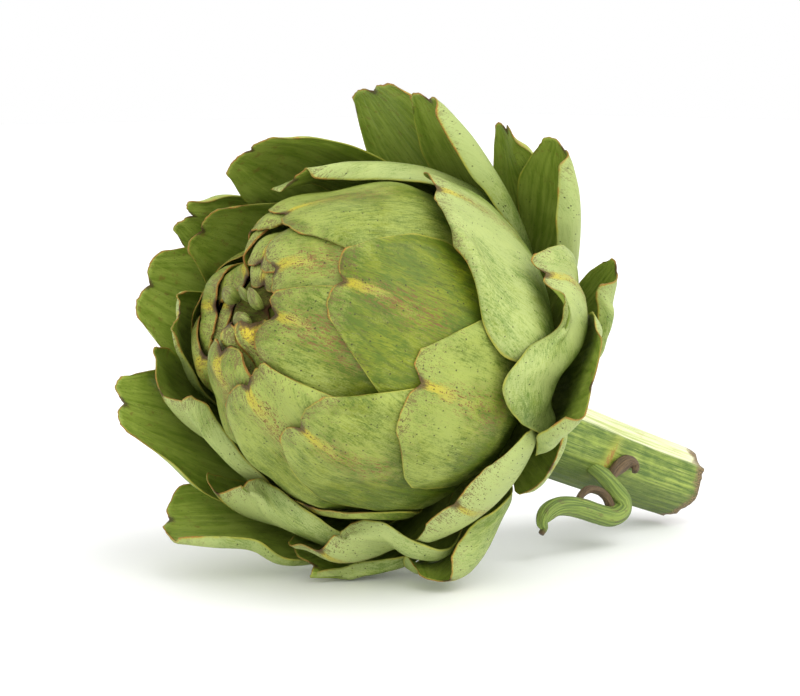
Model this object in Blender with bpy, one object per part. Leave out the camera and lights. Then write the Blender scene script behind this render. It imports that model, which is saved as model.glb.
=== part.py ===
# An artichoke lying on its side on a table: a closed round bulb of bracts, a ring of bracts that
# lean over it, a ring of open bracts around those, and a cut stem with one withered leaf.
#
# The head is modelled upright, with its centre at the origin and its tip along +Z, under an empty
# that tips it over. Lengths in this file are millimetres and angles are degrees, as a gardener
# would note them. MM turns lengths into the scene's metres.
import math

import bpy
import numpy as np
from mathutils import Vector

for oldObject in list(bpy.data.objects):
    bpy.data.objects.remove(oldObject, do_unlink=True)

MM = 0.001
TILT = 21.5  # how far the tip points above the table
HEAD_AT = (-38.7, -4.4, 63.5)  # the head's centre above the table
BULB_RADIUS = 47.0
HEART_RADIUS = 39.3  # the unseen middle that the innermost bracts lie on
TIP_DENT = 4.0  # how much lower that middle is at the tip
THICKNESS = 1.2
GAP = 0.6  # left between one bract and the next
STEM_RADIUS = 11.4
STEM_END_RADIUS = 10.6
STEM_LENGTH = 140.0
STEM_DROP = 2.9  # how far its cut end sinks below the straight axis, onto the table
PRESS = 0.15  # how far a resting bract would reach into the table before it is cut flat
RECEPTACLE_RADIUS = 29.0
ROWS_ACROSS = 7
ROWS_ALONG = 9
MAP_SIZE = 420

GREEN = (0.26, 0.36, 0.12)
PALE_GREEN = (0.42, 0.50, 0.26)
STEM_GREEN = (0.40, 0.50, 0.20)
DRY_BROWN = (0.22, 0.15, 0.07)

# Widths across a bract from its foot to its tip, as shares of its greatest width.
PLANS = {
    "broad": (0.55, 0.68, 0.81, 0.92, 0.99, 1.00, 0.92, 0.71, 0.36),
    "long": (0.42, 0.55, 0.69, 0.83, 0.94, 1.00, 0.96, 0.77, 0.40),
}

# Small bracts folded over the very tip, beneath the buds, in the same terms as CLOSED.
INNER = ((30, -13, 44, 26), (150, -9, 44, 26), (268, -7, 46, 26))

# Buds standing on them: (turn around the axis, distance from it, radius, length).
BUDS = ((45, 3.9, 2.0, 5.4), (300, 3.9, 1.8, 5.0), (286, 9.4, 2.2, 6.0), (185, 4.2, 1.8, 4.6))

# Closed bracts, innermost first: (turn, angle from the axis at the tip and at the foot, width).
CLOSED = (
    (222, 9, 50, 20), (140, 11, 55, 20), (350, 12, 58, 20), (262, 17, 62, 22),
    (85, 9, 80, 30), (15, 14, 84, 32), (180, 15, 88, 32), (305, 19, 95, 34),
    (270, 22, 100, 34), (101, 9, 108, 44), (42, 12, 112, 44), (178, 23, 112, 44),
    (240, 28, 114, 48), (318, 32, 116, 44), (283, 42, 120, 46), (352, 32, 118, 48),
    (212, 46, 122, 46), (71, 31, 120, 50), (143, 41, 124, 50), (250, 66, 128, 48),
    (106, 63, 130, 48), (32, 74, 130, 46), (325, 64, 130, 48), (185, 84, 130, 44),
)

# Bracts that lean over the bulb, innermost first: turn, tip as (from the axis, along the axis),
# slope of the tip (90 runs straight along the axis, more leans in), width and how hard it is cupped.
LEANING = (
    (258, (33, 43), 128, 46, 2.0), (298, (41, 43), 108, 50, 1.1), (342, (46, 33), 122, 46, 2.2),
    (231, (42, 42), 122, 44, 2.0), (20, (50, 12), 112, 48, 1.7), (207, (54, 20), 115, 44, 2.2),
    (133, (55, -10), 98, 48, 1.7), (178, (56, 2), 105, 44, 2.2), (62, (58, -5), 115, 50, 1.8),
)

# Open bracts, innermost first, in the same terms.
OPEN = (
    (80, (64, -15), 80, 48, 1.8), (332, (51, 44), 100, 46, 1.3), (303, (48, 47), 98, 40, 1.1),
    (8, (72, 15), 68, 40, 2.1), (30, (77, -11), 52, 38, 2.2), (187, (63, -7), 80, 42, 2.0),
    (152, (63, -22), 66, 42, 2.0), (350, (73, 16), 68, 40, 1.2), (112, (56, -34), 50, 34, 1.7),
    (56, (67, -28), 35, 38, 2.0), (17, (74, -7), 50, 32, 1.2), (281, (57, 40), 92, 46, 1.0),
    (237, (58, 42), 88, 46, 1.3), (218, (76, 19), 70, 44, 1.4), (256, (72, -10), 50, 44, 1.0),
    (318, (72, -6), 50, 44, 1.0),
)

# The withered leaf hangs from the stem's near side and curls back to the table: its centre line
# as (behind the head's centre, to the far side, above the table) and its half width.
STEM_LEAF = (
    (88.5, -13.8, 21.0, 2.4), (91.0, -15.5, 15.0, 2.8), (91.5, -15.5, 8.2, 3.0),
    (86.5, -15.0, 2.9, 3.0), (76.5, -14.5, 4.3, 3.0), (67.0, -15.0, 8.6, 2.9),
    (58.5, -16.0, 9.6, 2.7), (54.5, -17.0, 6.2, 2.2), (53.5, -17.5, 2.6, 1.5),
)
# Nodes that the table flattens.
RESTING = ("stem", "stem_leaf", "open_bract_6", "open_bract_7", "open_bract_14")


def material(name, colour, roughness):
    # A plain surface of one colour.
    made = bpy.data.materials.new(name)
    made.use_nodes = True
    shader = made.node_tree.nodes["Principled BSDF"]
    shader.inputs["Base Color"].default_value = (*colour, 1.0)
    shader.inputs["Roughness"].default_value = roughness
    shader.inputs["Metallic"].default_value = 0.0
    return made


def ease(value, start, end):
    # 0 before start, 1 after end, a smooth rise between them.
    t = np.clip((value - start) / (end - start), 0, 1)
    return t * t * (3 - 2 * t)


def spread(grid, steps):
    # Each value becomes the largest within that many steps of it.
    for _ in range(steps):
        padded = np.pad(grid, 1, mode="edge")
        rows = np.maximum(np.maximum(padded[:-2], padded[2:]), padded[1:-1])
        grid = np.maximum(np.maximum(rows[:, :-2], rows[:, 2:]), rows[:, 1:-1])
    return grid


def soften(grid):
    # Each value becomes the weighted mean of itself and its neighbours.
    padded = np.pad(grid, 1, mode="edge")
    rows = 0.25 * padded[:-2] + 0.5 * padded[1:-1] + 0.25 * padded[2:]
    return 0.25 * rows[:, :-2] + 0.5 * rows[:, 1:-1] + 0.25 * rows[:, 2:]


def finer(points, steps):
    # The same sheet with more rows, each cell shared out evenly.
    across = np.linspace(0, points.shape[0] - 1, (points.shape[0] - 1) * steps + 1)
    along = np.linspace(0, points.shape[1] - 1, (points.shape[1] - 1) * steps + 1)
    i = np.minimum(across.astype(int), points.shape[0] - 2)
    j = np.minimum(along.astype(int), points.shape[1] - 2)
    a = (across - i)[:, None, None]
    b = (along - j)[None, :, None]
    near = points[i][:, j] * (1 - a) + points[i + 1][:, j] * a
    far = points[i][:, j + 1] * (1 - a) + points[i + 1][:, j + 1] * a
    return near * (1 - b) + far * b


# The reach map holds how far out the head goes in every direction from its centre. It is a
# square whose middle is the tip, whose rim is the stem, and where the distance from the middle
# is the angle from the axis.

def mapPlace(points):
    # Where each direction falls on the reach map.
    side = np.hypot(points[..., 0], points[..., 1])
    angle = np.arctan2(side, points[..., 2]) / np.pi
    scale = angle * (MAP_SIZE / 2 - 2) / np.maximum(side, 1e-9)
    return MAP_SIZE / 2 + points[..., 0] * scale, MAP_SIZE / 2 + points[..., 1] * scale


def readMap(reach, points):
    # The reach in each point's direction, shared between the four nearest places.
    x, y = mapPlace(points)
    i = np.clip(x.astype(int), 0, MAP_SIZE - 2)
    j = np.clip(y.astype(int), 0, MAP_SIZE - 2)
    a = x - i
    b = y - j
    near = reach[i, j] * (1 - a) + reach[i + 1, j] * a
    far = reach[i, j + 1] * (1 - a) + reach[i + 1, j + 1] * a
    return near * (1 - b) + far * b


def addToMap(reach, points):
    # Raises the reach to a sheet's distance wherever the sheet lies.
    dense = finer(points, 14).reshape(-1, 3)
    distance = np.linalg.norm(dense, axis=-1)
    x, y = mapPlace(dense)
    for stepX in (0, 1):
        for stepY in (0, 1):
            i = np.clip(x.astype(int) + stepX, 0, MAP_SIZE - 1)
            j = np.clip(y.astype(int) + stepY, 0, MAP_SIZE - 1)
            np.maximum.at(reach, (i, j), distance)


def firstMap():
    # The heart is a ball with a dented tip, narrower behind, where the stem reaches out of it.
    place = np.arange(MAP_SIZE) - MAP_SIZE / 2
    x, y = np.meshgrid(place, place, indexing="ij")
    angle = np.hypot(x, y) / (MAP_SIZE / 2 - 2) * 180
    heart = HEART_RADIUS * (1 - 0.16 * ease(angle, 95, 150)) - TIP_DENT * (1 - ease(angle, 0, 35))
    stem = (STEM_RADIUS + 1.5) / np.maximum(np.sin(np.radians(np.clip(angle, 90, 180))), 0.06)
    return np.where(angle > 140, np.maximum(heart, stem), heart)


def settle(points, reach):
    # Moves a sheet straight out from the centre until both its faces clear the map, with a
    # smooth lift.
    steps = 10
    distance = np.linalg.norm(points, axis=-1)
    needed = np.zeros_like(distance)
    for face in (points, skin(points)):
        dense = finer(face, steps)
        missing = readMap(reach, dense) + GAP - np.linalg.norm(dense, axis=-1)
        needed = np.maximum(needed, spread(np.maximum(missing, 0), steps)[::steps, ::steps])
    lift = needed
    for _ in range(3):
        lift = np.maximum(needed, soften(lift))
    return points * (1 + lift / distance)[..., None]


def press(points):
    # Lifts a sheet straight up until its outer face reaches no more than PRESS into the table.
    up = np.array([math.cos(math.radians(TILT)), 0.0, math.sin(math.radians(TILT))])
    for _ in range(4):
        height = HEAD_AT[2] + skin(points) @ up
        needed = np.maximum(-PRESS - height, 0)
        lift = np.maximum(needed, 0.6 * soften(needed))
        points = points + lift[..., None] * up
    return points


def skin(points):
    # The outer face of a sheet, one thickness along its normals.
    normal = np.cross(np.gradient(points, axis=1), np.gradient(points, axis=0))
    normal /= np.linalg.norm(normal, axis=-1, keepdims=True)
    return points + THICKNESS * normal


def closedRib(tipAngle, footAngle, depth):
    # The midrib of a closed bract is an arc that much inside the bulb's surface.
    angle = np.radians(np.linspace(footAngle, tipAngle, 61))
    return (BULB_RADIUS - depth) * np.sin(angle), (BULB_RADIUS - depth) * np.cos(angle)


def openRib(foot, tip, tipSlope):
    # The midrib of a free bract leaves the receptacle sideways and turns to the tip's slope.
    t = np.linspace(0, 1, 61)
    chord = math.hypot(tip[0] - foot[0], tip[1] - foot[1])
    slope = math.radians(tipSlope)
    starts = (1 - t) ** 2 * (1 + 2 * t)
    leaves = t * (1 - t) ** 2 * 1.1 * chord
    ends = t * t * (3 - 2 * t)
    arrives = t * t * (t - 1) * 1.1 * chord
    fromAxis = starts * foot[0] + leaves + ends * tip[0] + arrives * math.cos(slope)
    alongAxis = starts * foot[1] + ends * tip[1] + arrives * math.sin(slope)
    return fromAxis, alongAxis


def bractSheet(turn, rib, width, plan, cup, notch):
    # Sheet(u, v): v runs up the midrib, whose end is notched in the middle. u runs across, on an
    # arc whose curvature grows from the bulb's own at the foot to cup times that at the tip.
    u = np.linspace(-1, 1, ROWS_ACROSS)[:, None]
    v = np.linspace(0, 1, ROWS_ALONG)[None, :]
    tipEdge = 0.94 + 0.06 * np.clip(1 - np.abs(u) ** 2.4, 0, 1) ** 0.42
    tipEdge = tipEdge - notch * np.exp(-(np.abs(u) / 0.3) ** 1.4)
    along = v * tipEdge
    share = np.linspace(0, 1, len(rib[0]))
    fromAxis = np.interp(along, share, rib[0])
    alongAxis = np.interp(along, share, rib[1])
    slope = np.interp(along, share, np.unwrap(np.arctan2(np.gradient(rib[1]), np.gradient(rib[0]))))
    half = 0.5 * width * np.interp(along, np.linspace(0, 1, 9), PLANS[plan])
    curvature = (1 + (cup - 1) * along) / BULB_RADIUS
    bend = u * half * curvature
    across = np.sin(bend) / curvature
    rise = (1 - np.cos(bend)) / curvature
    fromAxis = fromAxis - rise * np.sin(slope)
    alongAxis = alongAxis + rise * np.cos(slope)
    a = math.radians(turn)
    x = fromAxis * math.cos(a) - across * math.sin(a)
    y = -fromAxis * math.sin(a) - across * math.cos(a)
    return np.stack([x, y, alongAxis], axis=-1)


def sheetObject(name, points, look, parent):
    # A solid leaf: the sheet as a mesh, thickened on its outer side.
    rows, columns = points.shape[:2]
    corner = (np.arange(rows - 1)[:, None] * columns + np.arange(columns - 1)[None, :]).ravel()
    faces = np.stack([corner, corner + 1, corner + columns + 1, corner + columns], axis=-1)
    mesh = bpy.data.meshes.new(name)
    mesh.from_pydata((points.reshape(-1, 3) * MM).tolist(), [], faces.tolist())
    mesh.shade_smooth()
    mesh.materials.append(look)
    made = bpy.data.objects.new(name, mesh)
    bpy.context.collection.objects.link(made)
    made.parent = parent
    thicken = made.modifiers.new("thickness", "SOLIDIFY")
    thicken.thickness = THICKNESS * MM
    thicken.offset = 1.0
    return made


def tubeObject(name, path, look, parent, sides):
    # A round tapering tube along a path of (x, y, z, radius), closed at both ends.
    curve = bpy.data.curves.new(name, "CURVE")
    curve.dimensions = "3D"
    curve.bevel_depth = MM
    curve.bevel_resolution = sides
    curve.use_fill_caps = True
    spline = curve.splines.new("POLY")
    spline.points.add(len(path) - 1)
    for point, (x, y, z, radius) in zip(spline.points, path):
        point.co = (x * MM, y * MM, z * MM, 1.0)
        point.radius = radius
    guide = bpy.data.objects.new(name + "_curve", curve)
    mesh = bpy.data.meshes.new_from_object(guide)
    bpy.data.objects.remove(guide)
    mesh.name = name
    mesh.materials.append(look)
    made = bpy.data.objects.new(name, mesh)
    bpy.context.collection.objects.link(made)
    made.parent = parent


def smoothPath(corners, steps):
    # A Catmull-Rom curve through hand-placed points, read at even steps.
    corners = np.array(corners, float)
    held = np.vstack([2 * corners[0] - corners[1], corners, 2 * corners[-1] - corners[-2]])
    path = []
    for i in range(1, len(held) - 2):
        for t in np.linspace(0, 1, steps, endpoint=False):
            p0, p1, p2, p3 = held[i - 1:i + 3]
            path.append(0.5 * (2 * p1 + (p2 - p0) * t + (2 * p0 - 5 * p1 + 4 * p2 - p3) * t * t
                               + (3 * p1 - p0 - 3 * p2 + p3) * t ** 3))
    path.append(corners[-1])
    return path


def budObject(name, turn, fromAxis, radius, length, look, parent, reach):
    # A bud is a pointed egg standing on the inner bracts, and it is added to the reach map.
    a = math.radians(turn)
    out = Vector((fromAxis * math.cos(a), -fromAxis * math.sin(a), HEART_RADIUS)).normalized()
    rim = np.linspace(0, 2 * np.pi, 25)
    side = out.orthogonal().normalized()
    other = out.cross(side)
    around = np.array([out * HEART_RADIUS + radius * (math.cos(w) * side + math.sin(w) * other)
                       for w in rim])
    foot = out * float(readMap(reach, around).max() + GAP)
    path = []
    for t in np.linspace(0.03, 0.97, 8):
        swell = math.sin(math.pi * t ** 0.75) ** 0.7
        path.append((*(foot + out * length * t), radius * swell))
    tubeObject(name, path, look, parent, 2)
    rings = np.array([[Vector(p[:3]) + p[3] * (math.cos(w) * side + math.sin(w) * other)
                       for p in path] for w in rim])
    addToMap(reach, rings)


def stemObject(look, parent):
    # The stem runs straight back from the head and swells into the receptacle, whose far side is
    # under the bracts. Its cut end sinks a little less than the axis does, so it lies on the table.
    path = []
    for z, radius in ((-24, 16), (-26, 23), (-30, 28), (-34, RECEPTACLE_RADIUS - 2), (-38, 23),
                      (-42, 18.5), (-47, 14.8), (-54, 12.6), (-64, STEM_RADIUS)):
        path.append((0.0, 0.0, z, radius))
    for t in np.linspace(0.15, 1, 8):
        z = -64 - (STEM_LENGTH - 64) * t
        path.append((-STEM_DROP * t * t, 0.0, z, STEM_RADIUS + (STEM_END_RADIUS - STEM_RADIUS) * t))
    tubeObject("stem", path, look, parent, 6)


def stemLeafObject(look, parent):
    # A thick withered petiole, curled in an S, with its dry tip on the table.
    tubeObject("stem_leaf", smoothPath(STEM_LEAF, 3), look, parent, 2)


def cutResting():
    # The table's top takes a thin slice off everything that rests on it.
    bpy.ops.mesh.primitive_cube_add(size=1)
    cutter = bpy.context.object
    cutter.name = "table_cutter"
    cutter.scale = (0.6, 0.6, 0.02)
    cutter.location = (0.0, 0.0, -0.01)
    cutter.hide_render = True
    cutter.display_type = "WIRE"
    for name in RESTING:
        cut = bpy.data.objects[name].modifiers.new("table", "BOOLEAN")
        cut.operation = "DIFFERENCE"
        cut.object = cutter


def main():
    head = bpy.data.objects.new("head", None)
    bpy.context.collection.objects.link(head)
    head.location = [MM * value for value in HEAD_AT]
    head.rotation_euler = (0.0, -math.radians(90 - TILT), 0.0)
    green = material("bract green", GREEN, 0.5)
    pale = material("pale bract green", PALE_GREEN, 0.55)
    reach = firstMap()
    stemObject(material("stem green", STEM_GREEN, 0.5), head)
    for number, (turn, tip, foot, width) in enumerate(INNER, 1):
        sheet = settle(bractSheet(turn, closedRib(tip, foot, 8), width, "broad", 1.0, 0.05), reach)
        addToMap(reach, skin(sheet))
        sheetObject(f"inner_bract_{number}", sheet, pale, head)
    for number, (turn, fromAxis, radius, length) in enumerate(BUDS, 1):
        budObject(f"bud_{number}", turn, fromAxis, radius, length, pale, head, reach)
    sheets = []
    for number, (turn, tip, foot, width) in enumerate(CLOSED, 1):
        sheet = bractSheet(turn, closedRib(tip, foot, 6), width, "broad", 1.0, 0.05)
        sheets.append((f"closed_bract_{number}", sheet, pale))
    for number, (turn, tip, slope, width, cup) in enumerate(LEANING, 1):
        sheet = bractSheet(turn, openRib((26, -35.5), tip, slope), width, "broad", cup, 0.035)
        sheets.append((f"leaning_bract_{number}", sheet, pale))
    for number, (turn, tip, slope, width, cup) in enumerate(OPEN, 1):
        sheet = bractSheet(turn, openRib((18, -43), tip, slope), width, "long", cup, 0.035)
        sheets.append((f"open_bract_{number}", sheet, green))
    for name, sheet, look in sheets:
        settled = press(settle(sheet, reach))
        addToMap(reach, skin(settled))
        sheetObject(name, settled, look, head)
    table = bpy.data.objects.new("table", None)
    bpy.context.collection.objects.link(table)
    table.location = (MM * HEAD_AT[0], MM * HEAD_AT[1], 0.0)
    stemLeafObject(material("dry leaf green", DRY_BROWN, 0.6), table)
    cutResting()


main()
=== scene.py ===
from math import cos, hypot, radians, sin, tan

import bpy
import numpy as np
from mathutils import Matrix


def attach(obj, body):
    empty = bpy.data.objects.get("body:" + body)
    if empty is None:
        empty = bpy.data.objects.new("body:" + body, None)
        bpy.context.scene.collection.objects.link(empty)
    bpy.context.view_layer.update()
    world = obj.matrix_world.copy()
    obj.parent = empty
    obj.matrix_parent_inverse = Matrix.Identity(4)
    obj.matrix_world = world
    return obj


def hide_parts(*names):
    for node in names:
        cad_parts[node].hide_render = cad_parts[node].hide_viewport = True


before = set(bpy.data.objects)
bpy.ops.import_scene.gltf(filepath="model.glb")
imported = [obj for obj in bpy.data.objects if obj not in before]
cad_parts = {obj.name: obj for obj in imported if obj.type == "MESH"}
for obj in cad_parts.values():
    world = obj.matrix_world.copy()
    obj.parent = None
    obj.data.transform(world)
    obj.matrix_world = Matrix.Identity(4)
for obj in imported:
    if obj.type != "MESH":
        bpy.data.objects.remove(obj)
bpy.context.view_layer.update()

# Lengths are millimetres and angles are degrees until a mesh is made. The head is worked out
# upright, centred on the origin with its tip along +z, and then tipped over as it lies.
mm = 0.001
head = {"tilt": 21.5, "at": (-38.7, -4.4, 63.5), "bulbRadius": 47.0}
heart = {
    "radius": 39.3,
    "dent": 0.5,
    "dentAngle": 35,
    "taper": 0.16,
    "taperFrom": 95,
    "taperTo": 150,
    "stemRadius": 12.9,
    "stemFrom": 140,
}
mapGrid = {"size": 520, "rim": 258}
drape = {"gap": 0.35, "widen": 3, "smooth": 9, "press": 0.1, "pressWiden": 2, "pressSmooth": 5}
sheetGrid = {
    "across": 41,
    "along": 57,
    "crowding": 0.11,
    "thickness": 1.15,
    "marginShare": 0.28,
    "marginReach": 0.3,
    "footShare": 1.5,
}
studio = {
    "azimuth": -42.0,
    "elevation": 7.0,
    "distance": 0.65,
    "lens": 105.3,
    "aim": (-0.0329, -0.0096, 0.0654),
    "sky": 1.0,
    "floor": (0.94, 0.94, 0.94),
    "floorHalf": 4.0,
    "floorRoughness": 0.6,
}


# ---- curves and grids

def ease(value, start, end):
    # 0 before start, 1 after end, and 3t^2 - 2t^3 between them
    t = np.clip((value - start) / (end - start), 0, 1)
    return t * t * (3 - 2 * t)


def ripple(seed, value, slowest, fastest):
    # sines of rising pitch and falling size added up, with phases drawn from the seed
    rng = np.random.default_rng(seed)
    pitch = np.arange(slowest, fastest + 1)
    size = rng.uniform(0.5, 1.0, len(pitch)) / pitch ** 0.8
    phase = rng.uniform(0, 2 * np.pi, len(pitch))
    waves = np.sin(2 * np.pi * pitch * value[..., None] + phase)
    return (waves * size).sum(axis=-1) / size.sum()


def spread(grid, steps):
    # each value becomes the largest within that many steps of it
    for _ in range(steps):
        padded = np.pad(grid, 1, mode="edge")
        rows = np.maximum(np.maximum(padded[:-2], padded[2:]), padded[1:-1])
        grid = np.maximum(np.maximum(rows[:, :-2], rows[:, 2:]), rows[:, 1:-1])
    return grid


def soften(grid, times):
    # each value becomes the mean of itself and its neighbours, weighted 1 2 1 both ways
    for _ in range(times):
        padded = np.pad(grid, 1, mode="edge")
        rows = 0.25 * padded[:-2] + 0.5 * padded[1:-1] + 0.25 * padded[2:]
        grid = 0.25 * rows[:, :-2] + 0.5 * rows[:, 1:-1] + 0.25 * rows[:, 2:]
    return grid


def finer(points, steps):
    # the same sheet with more rows, each cell shared out evenly
    across = np.linspace(0, points.shape[0] - 1, (points.shape[0] - 1) * steps + 1)
    along = np.linspace(0, points.shape[1] - 1, (points.shape[1] - 1) * steps + 1)
    i = np.minimum(across.astype(int), points.shape[0] - 2)
    j = np.minimum(along.astype(int), points.shape[1] - 2)
    a = (across - i)[:, None, None]
    b = (along - j)[None, :, None]
    near = points[i][:, j] * (1 - a) + points[i + 1][:, j] * a
    far = points[i][:, j + 1] * (1 - a) + points[i + 1][:, j + 1] * a
    return near * (1 - b) + far * b


# ---- the reach map: how far out the head goes in every direction from its centre. It is a
# square with the tip in its middle and the stem at its rim.

def mapPlace(points):
    # the angle from the axis becomes the distance from the map's middle
    middle = mapGrid["size"] / 2
    side = np.hypot(points[..., 0], points[..., 1])
    angle = np.arctan2(side, points[..., 2]) / np.pi
    scale = angle * mapGrid["rim"] / np.maximum(side, 1e-9)
    return middle + points[..., 0] * scale, middle + points[..., 1] * scale


def readMap(reach, points):
    # the reach in each point's direction, shared between the four nearest places
    x, y = mapPlace(points)
    i = np.clip(x.astype(int), 0, mapGrid["size"] - 2)
    j = np.clip(y.astype(int), 0, mapGrid["size"] - 2)
    a = x - i
    b = y - j
    near = reach[i, j] * (1 - a) + reach[i + 1, j] * a
    far = reach[i, j + 1] * (1 - a) + reach[i + 1, j + 1] * a
    return near * (1 - b) + far * b


def addToMap(reach, points, steps):
    # raises the reach to a sheet's distance wherever the sheet lies
    dense = finer(points, steps).reshape(-1, 3)
    distance = np.linalg.norm(dense, axis=-1)
    x, y = mapPlace(dense)
    for stepX in (0, 1):
        for stepY in (0, 1):
            i = np.clip(x.astype(int) + stepX, 0, mapGrid["size"] - 1)
            j = np.clip(y.astype(int) + stepY, 0, mapGrid["size"] - 1)
            np.maximum.at(reach, (i, j), distance)


def firstMap():
    # a ball with a dented tip, narrower behind, where the stem reaches out of it
    place = np.arange(mapGrid["size"]) - mapGrid["size"] / 2
    x, y = np.meshgrid(place, place, indexing="ij")
    angle = np.hypot(x, y) / mapGrid["rim"] * 180
    ball = heart["radius"] * (1 - heart["taper"] * ease(angle, heart["taperFrom"], heart["taperTo"]))
    ball = ball - heart["dent"] * (1 - ease(angle, 0, heart["dentAngle"]))
    slimmest = 0.06
    stalk = heart["stemRadius"] / np.maximum(np.sin(np.radians(np.clip(angle, 90, 180))), slimmest)
    return np.where(angle > heart["stemFrom"], np.maximum(ball, stalk), ball)


def settle(points, thickness, reach):
    # moves a sheet straight out from the centre until both its faces clear the map, with a
    # lift that is widened and then smoothed, so that the sheet drapes over what is under it
    distance = np.linalg.norm(points, axis=-1)
    needed = np.zeros_like(distance)
    for face in (points, skin(points, thickness)):
        dense = finer(face, 2)
        missing = readMap(reach, dense) + drape["gap"] - np.linalg.norm(dense, axis=-1)
        needed = np.maximum(needed, spread(np.maximum(missing, 0), 2)[::2, ::2])
    lift = soften(spread(needed, drape["widen"]), drape["smooth"])
    return points * (1 + lift / distance)[..., None]


def press(points, thickness):
    # lifts a sheet straight up, a few times over, until no point of either face is further into
    # the table than press, with the lift widened and smoothed as above
    tilt = radians(head["tilt"])
    up = np.array([cos(tilt), 0.0, sin(tilt)])
    for _ in range(3):
        height = head["at"][2] + np.minimum(points @ up, skin(points, thickness) @ up)
        needed = np.maximum(-drape["press"] - height, 0)
        lift = soften(spread(needed, drape["pressWiden"]), drape["pressSmooth"])
        points = points + lift[..., None] * up
    return points


def faceNormals(points):
    # the cross product of the two grid directions
    normal = np.cross(np.gradient(points, axis=1), np.gradient(points, axis=0))
    return normal / np.maximum(np.linalg.norm(normal, axis=-1, keepdims=True), 1e-9)


def skin(points, thickness):
    # the outer face of a sheet, one thickness along its normals
    return points + thickness[..., None] * faceNormals(points)


def wall():
    # a sheet's thickness: thin along the margins, whole from marginReach inwards, and thicker
    # towards the foot by the power 1.5 of the way down
    a = np.abs(np.linspace(-1, 1, sheetGrid["across"]))[:, None]
    b = np.linspace(0, 1, sheetGrid["along"])[None, :]
    inside = ease(np.minimum(1 - a, 1.6 * (1 - b)), 0, sheetGrid["marginReach"])
    share = sheetGrid["marginShare"] + (1 - sheetGrid["marginShare"]) * inside
    foot = 1 + (sheetGrid["footShare"] - 1) * (1 - b) ** 1.5
    return sheetGrid["thickness"] * share * foot


def toWorld(points):
    # the head frame tipped over by the tilt and moved to where the head lies, in metres
    tilt = radians(head["tilt"])
    up = np.array([sin(tilt), 0.0, cos(tilt)])
    tip = np.array([-cos(tilt), 0.0, sin(tilt)])
    side = np.array([0.0, 1.0, 0.0])
    world = points[..., 0:1] * up + points[..., 1:2] * side + points[..., 2:3] * tip
    return (world + np.array(head["at"])) * mm


# ---- one bract

# Widths across a bract from its foot to its tip, as shares of its greatest width.
outlines = {
    "broad": (0.55, 0.68, 0.81, 0.92, 1, 1, 0.88, 0.62, 0.3),
    "long": (0.42, 0.55, 0.69, 0.83, 0.94, 1, 0.96, 0.72, 0.36),
    "fan": (0.3, 0.4, 0.52, 0.66, 0.8, 0.92, 1, 0.95, 0.66),
    "blunt": (0.55, 0.68, 0.81, 0.92, 1, 1, 0.94, 0.74, 0.42),
    "square": (0.5, 0.62, 0.76, 0.88, 0.96, 1, 0.98, 0.86, 0.58),
}
leafShape = {
    "lobeRound": 2.4,
    "lobeSoft": 0.42,
    "notchWidth": 0.3,
    "notchPoint": 1.2,
    "nibble": 0.006,
    "keelWidth": 0.12,
    "rollLength": 0.35,
    "curlWidth": 0.45,
    "buckle": 0.35,
    "tipSpan": (0.3, 1),
    "keelSpan": (0.3, 0.95),
    "curlSpan": (0.72, 1),
    "foldSpan": (0.3, 0.6),
    "waveSpan": (0.25, 0.7),
    "raggedSpan": (0.2, 0.5),
}
flatSide = {"turn": 335, "turnReach": 52, "angle": 54, "angleReach": 24, "share": 0.105}


def flatten(points):
    # draws one side of the bulb inwards: by a share of the distance that falls off with the
    # fourth power of the turn away from the middle of that side and the square of the angle
    distance = np.linalg.norm(points, axis=-1)
    turn = np.degrees(np.arctan2(-points[..., 1], points[..., 0])) - flatSide["turn"]
    turn = (turn + 180) % 360 - 180
    angle = np.degrees(np.arccos(points[..., 2] / distance)) - flatSide["angle"]
    share = np.exp(-(turn / flatSide["turnReach"]) ** 4 - (angle / flatSide["angleReach"]) ** 2)
    return points * (1 - flatSide["share"] * share)[..., None]


def closedRib(shape, t):
    # an arc inside the bulb's surface, from the foot's angle to the tip's
    angle = np.radians(shape["foot"] + (shape["tip"] - shape["foot"]) * t)
    radius = head["bulbRadius"] - shape["depth"]
    return radius * np.sin(angle), radius * np.cos(angle)


def freeRib(shape, t):
    # a Hermite curve that leaves the receptacle sideways and turns to the tip's slope
    foot = shape["foot"]
    tip = shape["tip"]
    chord = 1.1 * hypot(tip[0] - foot[0], tip[1] - foot[1])
    slope = radians(shape["slope"])
    starts = (1 - t) ** 2 * (1 + 2 * t)
    leaves = t * (1 - t) ** 2 * chord
    ends = t * t * (3 - 2 * t)
    arrives = t * t * (t - 1) * chord
    fromAxis = starts * foot[0] + leaves + ends * tip[0] + arrives * cos(slope)
    alongAxis = starts * foot[1] + ends * tip[1] + arrives * sin(slope)
    return fromAxis, alongAxis


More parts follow.
